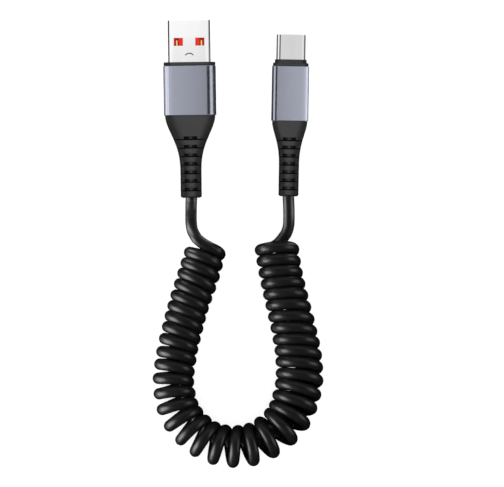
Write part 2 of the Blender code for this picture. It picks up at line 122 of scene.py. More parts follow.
LEAD_C_ROUTE = (
    (0.01493, -0.02707, 0.0031),
    (0.01499, -0.02935, 0.0030),
    (0.01499, -0.03191, 0.0027),
    (0.01482, -0.03360, 0.0023),
    (0.01420, -0.03543, 0.0020),
    (0.01310, -0.03700, 0.00175),
)
LEAD_AIM_TURNS = 0.12
EASE_PASSES = 24
EASE_REACH = 6
HEADING_STEP_TURNS = 0.01


class Plug:
    """One plug's sizes, as in the CAD source, with its frame at its boot's tail."""

    def __init__(self, name, plug_exit, lean, **sizes):
        self.name = name
        self.exit = plug_exit
        self.lean = math.radians(lean)
        self.__dict__.update(sizes)
        self.height = self.sleeve_thickness / 2
        self.sleeve_front = self.boot_length + self.sleeve_length
        self.place = Matrix.Translation((*plug_exit, self.height)) @ Matrix.Rotation(self.lean, 4, "Z")


USB_A = Plug(
    "usb_a",
    (-0.01281, -0.02531),
    0.8,
    shell_width=0.0120,
    shell_thickness=0.0045,
    shell_length=0.0120,
    shell_wall=0.0003,
    shell_corner=0.0007,
    shell_seat=0.0040,
    collar_length=0.0010,
    collar_inset=0.0001,
    sleeve_width=0.0149,
    sleeve_thickness=0.0080,
    sleeve_length=0.0141,
    sleeve_wall=0.0006,
    sleeve_corner=0.0025,
    boot_length=0.0235,
    boot_inset=0.0003,
    neck_width=0.0060,
    neck_thickness=0.0054,
    flare_start=0.0065,
    flare_power=1.50,
    slot_first=0.00233,
    slot_pitch=0.00243,
)
USB_C = Plug(
    "usb_c",
    (0.01484, -0.02488),
    -1.0,
    shell_width=0.00825,
    shell_thickness=0.0024,
    shell_length=0.0071,
    shell_wall=0.00025,
    shell_corner=0.00115,
    shell_seat=0.0030,
    collar_length=0.00094,
    collar_inset=0.0002,
    sleeve_width=0.01055,
    sleeve_thickness=0.0062,
    sleeve_length=0.01555,
    sleeve_wall=0.0005,
    sleeve_corner=0.0015,
    boot_length=0.0215,
    boot_inset=0.00025,
    neck_width=0.00572,
    neck_thickness=0.0051,
    flare_start=0.0070,
    flare_power=1.70,
    slot_first=0.0022,
    slot_pitch=0.00233,
)
FIT = 0.0001

# Meshes: the angle up to which faces are shaded smooth, the smallest corner, how far from its corners a
# flat has its own points, and the steps of rounded corners
SMOOTH_ANGLE = 30
LEAST_CORNER = 0.00002
FLAT_GUARD = 0.0002
CORNER_STEPS = 12
SHELL_CORNER_STEPS = 10
TONGUE_CORNER_STEPS = 4
EDGE_STEPS = 3

# Sleeves' rims, and the black collars in front of them
SLEEVE_RIM = 0.00016
SLEEVE_LIP = 0.00005
COLLAR_EDGE = 0.00015
COLLAR_INSIDE = 0.001
COLLAR_SHOULDER = 0.0003
STEP_LENGTH = 0.0010
STEP_MARGIN = 0.0004

# The USB-A shell's windows, its stamped arc, and the slots and contact tails under the windows
WINDOW_WIDTH = 0.0026
WINDOW_LENGTH = 0.00225
WINDOW_OFFSET = 0.00307
WINDOW_FROM_MOUTH = 0.0062
ARC_RADIUS = 0.00136
ARC_HALF_ANGLE = 56
ARC_WIDTH = 0.0003
ARC_RECESS_WIDTH = 0.0009
ARC_STEPS = 16
ARC_FROM_COLLAR = 0.00254
SEAM_WIDTH = 0.00008
TONGUE_THICKNESS = 0.0018
TONGUE_SETBACK = 0.0008
TONGUE_EDGE = 0.0001
TAIL_SLOT_OFFSET = 0.0035
TAIL_SLOT_WIDTH = 0.00108
TAIL_SLOT_DEPTH = 0.0017
TAIL_SLOT_LEAD = 0.0001
TAIL_WIDTH = 0.00038
TAIL_THICKNESS = 0.00038
TAIL_SINK = 0.00002
TAIL_EDGE = 0.00006
TAIL_PAST_SLOT = 0.0003
TAIL_SHORT_OF_SLOT = 0.0008

# Boots
BOOT_TAIL_ROUND = 0.0010
BOOT_TAIL_LENGTH = 0.0005
BOOT_SQUARENESS = 5.0
NECK_SQUARENESS = 2.6
SLOT_COUNT = 7
SLOT_LENGTH = 0.00075
SLOT_WIDTH = 0.0039
SLOT_CORE = 0.0019
SLOT_WEB = 0.0014
SLOT_STEPS = 24
BOOT_SIDES = 96
BOOT_STATIONS = 64
BOOT_TAIL_STEP_DEGREES = 10
# Each cross slot has a fine groove across the boot along its side towards the cord
SLOT_SHIFT = 0.0002
GROOVE_FROM_SLOT = -0.00033
GROOVE_HALF_LENGTH = 0.00018
GROOVE_DEPTH = 0.0009
# A groove runs out towards the boot's sides, at these shares of the half width
GROOVE_END = 0.93
GROOVE_RUN_OUT = 0.12

# Materials: the part of a noise's range that is used, and how much finer the fine noise is
NOISE_LOW = 0.3
NOISE_HIGH = 0.7
FINE_TO_BROAD = 12

# Lights. The sky lights everything and the floor's own light only the floor
SKY = 0.6
FLOOR_LIGHT = 0.8
FLOOR_WHITE = 0.93
FLOOR_HALF_SIZE = 1.5
METAL_SKINS = ("usb_a_sleeve_tube", "usb_a_shell_tube", "usb_c_sleeve_tube", "usb_c_shell_tube")
# Where the softboxes aim: along a plug from its boot's tail for the shells, in the part's frame for the rest
SHELL_A_MIDDLE = 0.0445
SHELL_C_MIDDLE = 0.0425
ROOM_AIM = (0.0, -0.03, 0.0)
METALS_AIM = (0.0, 0.008, 0.004)
CORD_AIM = (0.0, -0.065, 0.006)
BOOTS_AIM = (0.0, -0.012, 0.004)
REST_AIM = (0.0, 0.01, 0.006)
# Each softbox: its name, its angle from overhead to the right, its turn from there towards the mouths, its
# distance, the degrees that it fills each side of its middle, and its radiance
ROOM_BOX = ("room", 0, 0, 0.3, (82, 82), 0.07)
SLEEVE_SIDE_BOXES = (
    ("outer", 76, 0, 0.4, (25, 32), 1.75),
    ("far", 112, 0, 0.4, (26, 32), 0.8),
    ("shade", -108, 0, 0.4, (28, 32), 0.13),
    ("inner", -59, 0, 0.4, (20, 32), 1.35),
)
SLEEVE_END_BOXES = (
    ("front", 75, 90, 0.4, (22, 22), 1.0),
    ("back", 75, -90, 0.4, (22, 22), 1.0),
)
SLEEVE_FACE_OFFSET = 0.096
SLEEVE_FACE_REACH = 0.14
SLEEVE_FACE_SPREAD = (36.3, 25)
SLEEVE_FACE_A = 1.08
SLEEVE_FACE_C = 1.2
SHELL_A_FACE_BOXES = (
    ("left", -28, 0, 0.15, (28, 40), 0.88),
    ("middle", 20, 0, 0.15, (20, 40), 0.77),
)
SHELL_A_WASH_OFFSET = 0.044
SHELL_A_WASH_BOX = ("wash", 0, 0, 0.15, (30, 15), 0.14)
SHELL_A_EDGE_BOXES = (
    ("right", 75, 0, 0.3, (25, 40), 0.22),
    ("front", 72, 90, 0.3, (20, 30), 1.05),
)
SHELL_C_BOXES = (
    ("face", 13.6, 0, 0.3, (16.4, 50), 0.89),
    ("right", 51, 0, 0.3, (21, 40), 1.15),
    ("far", 92, 0, 0.3, (18, 40), 0.35),
    ("left", -61, 0, 0.3, (28, 40), 1.2),
    ("front", 72, 90, 0.3, (20, 30), 0.95),
)
# These are mirrored by the metals in low views
METALS_BOXES = (
    ("mouths", 58, 90, 0.5, (22, 50), 0.7),
    ("helix", 58, -90, 0.5, (22, 50), 0.7),
    ("corner_40", 102, 40, 0.5, (34, 19), 0.6),
    ("corner_140", 102, 140, 0.5, (34, 19), 0.6),
    ("corner_220", 102, 220, 0.5, (34, 19), 0.6),
    ("corner_320", 102, 320, 0.5, (34, 19), 0.6),
)
CORD_BOXES = (
    ("key", -78, 20, 0.5, (23, 22), 5.6),
    ("left", -96, 20, 0.5, (24, 36), 1.2),
    ("fill", 72, 0, 0.5, (18, 20), 1.4),
    ("top", 50, 90, 0.5, (18, 50), 0.25),
)
LEAD_AIM_BEHIND = 0.004
LEAD_AIM_HEIGHT = 0.006
LEAD_A_BOXES = (
    ("lead_left", -67, 0, 0.010, (34, 24), 5.4),
    ("lead_right", 85, 0, 0.010, (30, 20), 1.7),
)
LEAD_C_BOXES = (
    ("lead_left", -84, 0, 0.010, (34, 24), 0.8),
    ("lead_right", 85, 0, 0.010, (30, 20), 1.9),
)
BOOT_BOXES = (
    ("overhead", 0, 0, 0.3, (12, 26), 2.1),
    ("left", -84, 0, 0.4, (14, 20), 0.5),
    ("right", 84, 0, 0.4, (14, 20), 0.25),
)
REST_BOX = ("overhead", 0, 0, 0.3, (26, 26), 0.95)


def make_camera():
    """The camera, straight above, framed as the photograph is."""
    data = bpy.data.cameras.new("camera")
    data.lens = LENS
    data.sensor_width = SENSOR
    data.clip_start = CLIP_START
    data.clip_end = CLIP_END
    camera = bpy.data.objects.new("camera", data)
    bpy.context.scene.collection.objects.link(camera)
    half_width = PHOTO_WIDTH_PIXELS * METRES_PER_PIXEL / 2
    distance = half_width * LENS / (SENSOR / 2)
    camera.location = (*PHOTO_CENTRE, FOCUS_HEIGHT + distance)
    bpy.context.scene.camera = camera


def smooth_row(points, at):
    """A smooth curve through evenly numbered points, read at a number between them."""
    points = np.asarray(points, float)
    before = 2 * points[0] - points[1]
    after = 2 * points[-1] - points[-2]
    padded = np.vstack([before, points, after])
    span = min(max(int(math.floor(at)), 0), len(points) - 2)
    t = at - span
    p0, p1, p2, p3 = padded[span : span + 4]
    return p1 + 0.5 * t * (
        (p2 - p0) + t * ((2 * p0 - 5 * p1 + 4 * p2 - p3) + t * (3 * (p1 - p2) + p3 - p0))
    )


def coil_axis(turn):
    """The axis point at a turn count, resting its turns on the floor, and the outer diameter there."""
    x, y, diameter = map(float, smooth_row(COIL_AXIS, turn / TURNS_BETWEEN_AXIS_POINTS))
    return Vector((x, y, diameter / 2)), diameter


def coil_strand(turn):
    """The cord's centre at a turn count: on top at whole turns, and under the axis half a turn on."""
    centre, diameter = coil_axis(turn)
    heading = coil_axis(turn + HEADING_STEP_TURNS)[0] - coil_axis(turn - HEADING_STEP_TURNS)[0]
    heading.z = 0
    heading.normalize()
    sideways = Vector((0, 0, 1)).cross(heading)
    angle = math.pi / 2 - 2 * math.pi * turn
    radius = (diameter - CORD_DIAMETER) / 2
    shift, lean = map(float, smooth_row(TURN_WAYS, turn / TURNS_BETWEEN_AXIS_POINTS))
    along = (shift + lean * math.cos(angle)) * heading
    outward = math.cos(angle) * sideways + Vector((0, 0, math.sin(angle)))
    tilt = Vector((0, 0, 1)).rotation_difference(Vector((*TURN_LEAN, 1)))
    return centre + along + radius * (tilt @ outward)


def lead_points(plug, route, strand_turn, inward):
    """A lead's centres: straight out of the boot, through its route and up to the helix."""
    back = Vector((math.sin(plug.lean), -math.cos(plug.lean), 0))
    start = Vector((*plug.exit, plug.height)) + back * CORD_GAP
    joint = coil_strand(strand_turn)
    onward = coil_strand(strand_turn + inward)
    through = [start, *(Vector(point) for point in route), joint, onward]
    last = len(through) - 2
    inside = start - back * (CORD_GAP + CORD_INTO_BOOT)
    return [inside] + [Vector(smooth_row(through, last * i / LEAD_POINTS)) for i in range(LEAD_POINTS)]


def eased(points, joint):
    """The points with the corner at one of them rounded out over its neighbours."""
    points = list(points)
    for _ in range(EASE_PASSES):
        for at in range(joint - EASE_REACH, joint + EASE_REACH + 1):
            points[at] = (points[at - 1] + 2 * points[at] + points[at + 1]) / 4
    return points


def make_cord(material):
    """The whole cord as one curve, from the USB-A boot round the helix to the USB-C boot."""
    steps = int(COIL_TURNS * POINTS_PER_TURN)
    helix = [coil_strand(COIL_TURNS * i / steps) for i in range(steps + 1)]
    lead_a = lead_points(USB_A, LEAD_A_ROUTE, 0, LEAD_AIM_TURNS)
    lead_c = lead_points(USB_C, LEAD_C_ROUTE, COIL_TURNS, -LEAD_AIM_TURNS)
    points = lead_a + helix + lead_c[::-1]
    for joint in (len(lead_a), len(lead_a) + steps):
        points = eased(points, joint)
    curve = bpy.data.curves.new("cord", "CURVE")
    curve.dimensions = "3D"
    curve.bevel_depth = CORD_DIAMETER / 2
    curve.bevel_resolution = CORD_SIDES_RESOLUTION
    curve.use_fill_caps = True
    spline = curve.splines.new("POLY")
    spline.points.add(len(points) - 1)
    for control, point in zip(spline.points, points):
        control.co = (*point, 1.0)
    spline.use_smooth = True
    curve.materials.append(material)
    cord = bpy.data.objects.new("cord", curve)
    bpy.context.scene.collection.objects.link(cord)
    length = sum((b - a).length for a, b in zip(points, points[1:]))
    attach(cord, "root")
    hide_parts("cord_lead_a", "curly_cord", "cord_lead_c")
    return cord, length


def new_material(name, colour, roughness, metallic=0.0):
    """A Principled material with its node tree and shader."""
    material = bpy.data.materials.new(name)
    material.use_nodes = True
    shader = material.node_tree.nodes["Principled BSDF"]
    shader.inputs["Base Color"].default_value = (*colour, 1.0)
    shader.inputs["Roughness"].default_value = roughness
    shader.inputs["Metallic"].default_value = metallic
    return material, shader


def add_noise(material, scale, detail=3.0, stretch=(1.0, 1.0, 1.0)):
    """A noise value over the piece's own coordinates, stretched along some of them."""
    tree = material.node_tree
    place = tree.nodes.new("ShaderNodeTexCoord")
    mapping = tree.nodes.new("ShaderNodeMapping")
    mapping.inputs["Scale"].default_value = stretch
    noise = tree.nodes.new("ShaderNodeTexNoise")
    noise.inputs["Scale"].default_value = scale
    noise.inputs["Detail"].default_value = detail
    tree.links.new(place.outputs["Object"], mapping.inputs["Vector"])
    tree.links.new(mapping.outputs["Vector"], noise.inputs["Vector"])
    return noise.outputs["Fac"]


def vary(material, value, low, high, socket):
    """Drives a shader number by a noise value, from low to high."""
    tree = material.node_tree
    mapped = tree.nodes.new("ShaderNodeMapRange")
    mapped.inputs["From Min"].default_value = NOISE_LOW
    mapped.inputs["From Max"].default_value = NOISE_HIGH
    mapped.inputs["To Min"].default_value = low
    mapped.inputs["To Max"].default_value = high
    tree.links.new(value, mapped.inputs["Value"])
    tree.links.new(mapped.outputs["Result"], socket)


def vary_colour(material, value, dark, light, shader):
    """Mixes two near colours by a noise value."""
    tree = material.node_tree
    ramp = tree.nodes.new("ShaderNodeValToRGB")
    ramp.color_ramp.elements[0].position = NOISE_LOW
    ramp.color_ramp.elements[0].color = (*dark, 1.0)
    ramp.color_ramp.elements[1].position = NOISE_HIGH
    ramp.color_ramp.elements[1].color = (*light, 1.0)
    tree.links.new(value, ramp.inputs["Fac"])
    tree.links.new(ramp.outputs["Color"], shader.inputs["Base Color"])


def add_bump(material, value, height, shader):
    """A bump of that height in metres from a noise value."""
    tree = material.node_tree
    bump = tree.nodes.new("ShaderNodeBump")
    bump.inputs["Strength"].default_value = 1.0
    bump.inputs["Distance"].default_value = height
    tree.links.new(value, bump.inputs["Height"])
    tree.links.new(bump.outputs["Normal"], shader.inputs["Normal"])


def textured(name, colours, roughness, metallic, grain, bump_height, stretch=(1.0, 1.0, 1.0)):
    """A finish with fine grain: two near colours, a range of roughness and a small bump."""
    material, shader = new_material(name, colours[0], roughness[0], metallic)
    broad = add_noise(material, grain / FINE_TO_BROAD, 4.0, stretch)
    fine = add_noise(material, grain, 2.0, stretch)
    vary_colour(material, broad, *colours, shader)
    vary(material, broad, *roughness, shader.inputs["Roughness"])
    add_bump(material, fine, bump_height, shader)
    return material


def make_materials():
    """Every finish, by the record's slot name."""
    finishes = {
        "cord_jacket": textured(
            "cord_jacket",
            ((0.0055, 0.0055, 0.0057), (0.0075, 0.0075, 0.0075)),
            (0.30, 0.37),
            0.0,
            6000,
            0.000004,
        ),
        "black_rubber": textured(
            "black_rubber", ((0.017, 0.017, 0.017), (0.023, 0.023, 0.022)), (0.38, 0.45), 0.0, 9000, 0.000006
        ),
        "black_plastic": textured(
            "black_plastic", ((0.024, 0.024, 0.024), (0.032, 0.032, 0.032)), (0.34, 0.40), 0.0, 9000, 0.000003
        ),
        "grey_aluminium": textured(
            "grey_aluminium",
            ((0.322, 0.335, 0.400), (0.342, 0.355, 0.422)),
            (0.19, 0.24),
            1.0,
            12000,
            0.000002,
        ),
        "bright_steel": textured(
            "bright_steel",
            ((0.86, 0.86, 0.86), (0.90, 0.90, 0.90)),
            (0.10, 0.15),
            1.0,
            5000,
            0.0000005,
            (1.0, 0.12, 1.0),
        ),
        "satin_steel": textured(
            "satin_steel",
            ((0.66, 0.66, 0.66), (0.70, 0.70, 0.70)),
            (0.05, 0.08),
            1.0,
            5000,
            0.0000008,
            (1.0, 0.12, 1.0),
        ),
        "orange_plastic": textured(
            "orange_plastic", ((0.93, 0.028, 0.006), (0.97, 0.040, 0.010)), (0.32, 0.40), 0.0, 6000, 0.000003
        ),
        "gold_contact": textured(
            "gold_contact", ((0.86, 0.62, 0.28), (0.92, 0.68, 0.33)), (0.18, 0.26), 1.0, 6000, 0.0000005
        ),
    }
    matt = finishes["orange_plastic"].node_tree.nodes["Principled BSDF"]
    matt.inputs["Specular IOR Level"].default_value = 0.15
    return finishes


def section(half_width, half_thickness, corner, steps):
    """A rounded rectangle's points, anticlockwise from the right-hand side.

    Each corner has a point on the flats at both its ends, so that smooth shading leaves the flats flat.
    """
    corner = min(corner, half_width, half_thickness)
    flat = min(FLAT_GUARD, (half_width - corner) / 4, (half_thickness - corner) / 4)
    points = []
    for centre_x, centre_z, start in ((1, 1, 0), (-1, 1, 90), (-1, -1, 180), (1, -1, 270)):
        x, z = centre_x * (half_width - corner), centre_z * (half_thickness - corner)
        arm = [
            (x + corner * math.cos(angle), z + corner * math.sin(angle))
            for angle in (math.radians(start + 90 * step / steps) for step in range(steps + 1))
        ]
        along = (math.cos(math.radians(start)), math.sin(math.radians(start)))
        before = (arm[0][0] + flat * along[1], arm[0][1] - flat * along[0])
        after = (arm[-1][0] - flat * along[0], arm[-1][1] - flat * along[1])
        points += [before, *arm, after]
    return points


def skin(shape, rings, closed=False):
    """Quads between rings of equal count, with the ends filled unless the rings close on themselves."""
    made = [[shape.verts.new(point) for point in ring] for ring in rings]
    pairs = list(zip(made, made[1:]))
    if closed:
        pairs.append((made[-1], made[0]))
    for ring, following in pairs:
        for side in range(len(ring)):
            other = (side + 1) % len(ring)
            shape.faces.new((ring[side], following[side], following[other], ring[other]))
    if not closed:
        shape.faces.new(made[0])
        shape.faces.new(made[-1][::-1])


def finish_mesh(name, shape):
    """The mesh with its faces turned outwards and shaded smooth, apart from its sharp edges."""
    bmesh.ops.remove_doubles(shape, verts=shape.verts, dist=1e-7)
    bmesh.ops.recalc_face_normals(shape, faces=shape.faces)
    mesh = bpy.data.meshes.new(name)
    shape.to_mesh(mesh)
    shape.free()
    mesh.shade_smooth()
    mesh.set_sharp_from_angle(angle=math.radians(SMOOTH_ANGLE))
    return mesh


def add_piece(name, mesh, plug, material, slot, *replaced):
    """A piece in its plug's frame, riding on the part."""
    mesh.materials.append(material)
    piece = bpy.data.objects.new(name, mesh)
    bpy.context.scene.collection.objects.link(piece)
    piece.matrix_world = plug.place
    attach(piece, "root")
    if replaced:
        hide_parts(*replaced)
    return piece


def profile_mesh(name, outline, width, thickness, corner, steps=CORNER_STEPS, closed=False):
    """A body whose every section is the same rounded rectangle drawn in by some inset: (y, inset) pairs."""
    shape = bmesh.new()
    rings = []
    for y, inset in outline:
        points = section(width / 2 - inset, thickness / 2 - inset, max(corner - inset, LEAST_CORNER), steps)
        rings.append([(x, y, z) for x, z in points])
    skin(shape, rings, closed)
    return finish_mesh(name, shape)


def arc(y, inset, radius, start, end, steps=5):
    """Points of a rounded edge in a profile, about a centre; 0 degrees points outwards, 90 to the front."""
    points = []
    for step in range(steps + 1):
        angle = math.radians(start + (end - start) * step / steps)
        points.append((y + radius * math.sin(angle), inset - radius * math.cos(angle)))
    return points


def make_sleeve(plug, materials):
    """The metal sleeve: a tube with rounded rims."""
    rim, lip = SLEEVE_RIM, SLEEVE_LIP
    back = plug.boot_length
    front = plug.sleeve_front
    wall = plug.sleeve_wall
    outline = [
        (back, wall),
        *arc(back + lip, rim, lip, -90, -45, 2),
        *arc(back + rim, rim, rim, -45, 0),
        *arc(front - rim, rim, rim, 0, 45),
        *arc(front - lip, rim, lip, 45, 90, 2),
        (front, wall),
    ]
    mesh = profile_mesh(
        f"{plug.name}_sleeve_skin",
        outline,
        plug.sleeve_width,
        plug.sleeve_thickness,
        plug.sleeve_corner,
        closed=True,
    )
    name = f"{plug.name}_sleeve"
    add_piece(f"{plug.name}_sleeve_tube", mesh, plug, materials["grey_aluminium"], "grey_aluminium", name)


def ring_shell(name, plug, back, front):
    """A plug shell: a thin tube with a slightly drawn-in mouth."""
    wall = plug.shell_wall
    edge = wall / 2
    outline = [
        (back, 0.0),
        *arc(front - edge, edge, edge, 0, 180, 2 * EDGE_STEPS),
        (back, wall),
    ]
    return profile_mesh(
        name,
        outline,
        plug.shell_width,
        plug.shell_thickness,
        plug.shell_corner,
        steps=SHELL_CORNER_STEPS,
        closed=True,
    )


def make_collar_a(plug, materials):
    """The black mould's collar in front of the USB-A sleeve."""
    edge = COLLAR_EDGE
    start = plug.sleeve_front + FIT
    front = plug.sleeve_front + plug.collar_length
    inner = (plug.sleeve_width - plug.shell_width) / 2 - plug.collar_inset - FIT
    outline = [
        (start - COLLAR_INSIDE, plug.sleeve_wall + FIT),
        (start, plug.sleeve_wall + FIT),
        *arc(start + edge, edge, edge, -90, 0, EDGE_STEPS),
        *arc(front - edge, edge, edge, 0, 90, EDGE_STEPS),
        (front, inner),
    ]
    mesh = profile_mesh(
        "usb_a_collar_skin",
        outline,
        plug.sleeve_width - 2 * plug.collar_inset,
        plug.sleeve_thickness - 2 * plug.collar_inset,
        plug.sleeve_corner - plug.collar_inset,
    )
    add_piece("usb_a_collar", mesh, plug, materials["black_plastic"], "black_plastic", "usb_a_inner_mould")


def make_collar_c(plug, materials):
    """The black mould's two-step collar in front of the USB-C sleeve."""
    edge, shoulder = COLLAR_EDGE, COLLAR_SHOULDER
    start = plug.sleeve_front + FIT
    front = plug.sleeve_front + plug.collar_length
    outline = [
        (start - COLLAR_INSIDE, plug.sleeve_wall + FIT),
        (start, plug.sleeve_wall + FIT),
        *arc(start + edge, edge, edge, -90, 0, EDGE_STEPS),
        *arc(front - shoulder, shoulder, shoulder, 0, 90, 2 * EDGE_STEPS),
        (front, 2 * shoulder),
    ]
    mesh = profile_mesh(
        "usb_c_collar_skin",
        outline,
        plug.sleeve_width - 2 * plug.collar_inset,
        plug.sleeve_thickness - 2 * plug.collar_inset,
        plug.sleeve_corner - plug.collar_inset,
    )
    add_piece("usb_c_collar", mesh, plug, materials["black_plastic"], "black_plastic", "usb_c_inner_mould")
    step_outline = [
        (front - edge, 0.0),
        *arc(front + STEP_LENGTH - edge, edge, edge, 0, 90, EDGE_STEPS),
        (front + STEP_LENGTH, 2 * edge),
    ]
    step_mesh = profile_mesh(
        "usb_c_collar_step_skin",
        step_outline,
        plug.shell_width + 2 * STEP_MARGIN,
        plug.shell_thickness + 2 * STEP_MARGIN,
        plug.shell_corner + STEP_MARGIN,
    )
    add_piece("usb_c_collar_step", step_mesh, plug, materials["black_plastic"], "black_plastic")


def boot_half_sizes(plug, at):
    """Half width, half thickness and squareness of a boot at a distance from its tail."""
    shoulder_width = plug.sleeve_width - 2 * plug.boot_inset
    shoulder_thickness = plug.sleeve_thickness - 2 * plug.boot_inset
    share = (at - plug.flare_start) / (plug.boot_length - plug.flare_start)
    share = min(max(share, 0.0), 1.0) ** plug.flare_power
    share = share * share * (3 - 2 * share)
    width = plug.neck_width + (shoulder_width - plug.neck_width) * share
    thickness = plug.neck_thickness + (shoulder_thickness - plug.neck_thickness) * share
    squareness = NECK_SQUARENESS + (BOOT_SQUARENESS - NECK_SQUARENESS) * share
    if at < BOOT_TAIL_LENGTH:
        rounding = math.sqrt(max(1 - (1 - at / BOOT_TAIL_LENGTH) ** 2, 0.0))
        width -= 2 * BOOT_TAIL_ROUND * (1 - rounding)
        thickness -= 2 * BOOT_TAIL_ROUND * (1 - rounding)
    return width / 2, thickness / 2, squareness


def slot_floor(x):
    """The height of a slot's floor: over the round core that the cord is in, and over the web beside it."""
    return math.sqrt(max(SLOT_CORE * SLOT_CORE - x * x, (SLOT_WEB / 2) ** 2))


def boot_stations(plug):
    """Distances from the tail at which the boot's outline is given, each with its groove's depth there."""
    angles = range(0, 91, BOOT_TAIL_STEP_DEGREES)
    tail = [BOOT_TAIL_LENGTH * (1 - math.cos(math.radians(angle))) for angle in angles]
    ats = [*tail, *np.linspace(plug.flare_start / 2, plug.boot_length - FIT, BOOT_STATIONS)]
    stations = [(float(at), 0.0) for at in ats]
    for number in range(SLOT_COUNT):
        middle = plug.slot_first + plug.slot_pitch * number + GROOVE_FROM_SLOT
        stations = [row for row in stations if abs(row[0] - middle) > GROOVE_HALF_LENGTH]
        for offset, depth in ((-GROOVE_HALF_LENGTH, 0), (0, 1), (GROOVE_HALF_LENGTH, 0)):
            stations.append((middle + offset, depth * GROOVE_DEPTH))
    return sorted(stations)


def boot_mesh(plug):
    """The boot's outer shape with its fine grooves, without its slots."""
    shape = bmesh.new()
    rings = []
    for at, groove in boot_stations(plug):
        half_width, half_thickness, squareness = boot_half_sizes(plug, at)
        ring = []
        for side in range(BOOT_SIDES):
            angle = 2 * math.pi * (side + 0.5) / BOOT_SIDES
            x = math.copysign(abs(math.cos(angle)) ** (2 / squareness), math.cos(angle))
            z = math.copysign(abs(math.sin(angle)) ** (2 / squareness), math.sin(angle))
            fade = min(max((GROOVE_END - abs(x)) / GROOVE_RUN_OUT, 0.0), 1.0)
            ring.append((half_width * x, at, (half_thickness - groove * fade) * z))
        rings.append(ring)
    skin(shape, rings)
    return finish_mesh(f"{plug.name}_boot_skin", shape)


def slot_cutter(plug):
    """All of a boot's cross slots, as one cutter's shape."""
    shape = bmesh.new()
    half = SLOT_WIDTH / 2
    arch = [-half + SLOT_WIDTH * step / SLOT_STEPS for step in range(SLOT_STEPS + 1)]
    for number in range(SLOT_COUNT):
        at = plug.slot_first + plug.slot_pitch * number + SLOT_SHIFT
        for side in (1, -1):
            outline = [(x, slot_floor(x)) for x in arch]
            outline += [(half, plug.sleeve_thickness), (-half, plug.sleeve_thickness)]
            rings = []
            for y in (at - SLOT_LENGTH / 2, at + SLOT_LENGTH / 2):
                rings.append([(x, y, side * z) for x, z in outline])
            skin(shape, rings)
    return shape


def make_boot(plug, materials):
    """The strain relief with its slots cut."""
    boot = add_piece(
        f"{plug.name}_boot",
        boot_mesh(plug),
        plug,
        materials["black_rubber"],
        "black_rubber",
        f"{plug.name}_strain_relief",
    )
    cut_piece(boot, slot_cutter(plug), plug)


def apply_modifiers(piece):
    """The piece keeps the mesh that its modifiers make."""
    graph = bpy.context.evaluated_depsgraph_get()
    graph.update()
    mesh = bpy.data.meshes.new_from_object(piece.evaluated_get(graph))
    piece.modifiers.clear()
    piece.data = mesh
    mesh.set_sharp_from_angle(angle=math.radians(SMOOTH_ANGLE))


def add_box(shape, x, y, z):
    """A box between two numbers along each axis."""
    made = bmesh.ops.create_cube(shape, size=1.0)
    for vertex in made["verts"]:
        vertex.co = [ends[0] if at < 0 else ends[1] for at, ends in zip(vertex.co, (x, y, z))]


def add_arc_block(shape, middle, radius, width, z):
    """A curved block, a part of a ring that is centred at a point behind its crown."""
    rings = []
    for step in range(ARC_STEPS + 1):
        angle = math.radians(90 - ARC_HALF_ANGLE + 2 * ARC_HALF_ANGLE * step / ARC_STEPS)
        way = (math.cos(angle), math.sin(angle))
        corners = ((-1, 0), (1, 0), (1, 1), (-1, 1))
        ring = []
        for side, top in corners:
            reach = radius + side * width / 2
            ring.append((reach * way[0], middle + reach * way[1], z[top]))
        rings.append(ring)
    skin(shape, rings)


def cut_piece(piece, shape, plug):
    """The piece with a cutter's shape taken out of it."""
    cutter = bpy.data.objects.new("cutter", finish_mesh("cutter", shape))
    bpy.context.scene.collection.objects.link(cutter)
    cutter.matrix_world = plug.place
    bpy.context.view_layer.update()
    cut = piece.modifiers.new("cut", "BOOLEAN")
    cut.object = cutter
    cut.operation = "DIFFERENCE"
    apply_modifiers(piece)
    bpy.data.objects.remove(cutter)


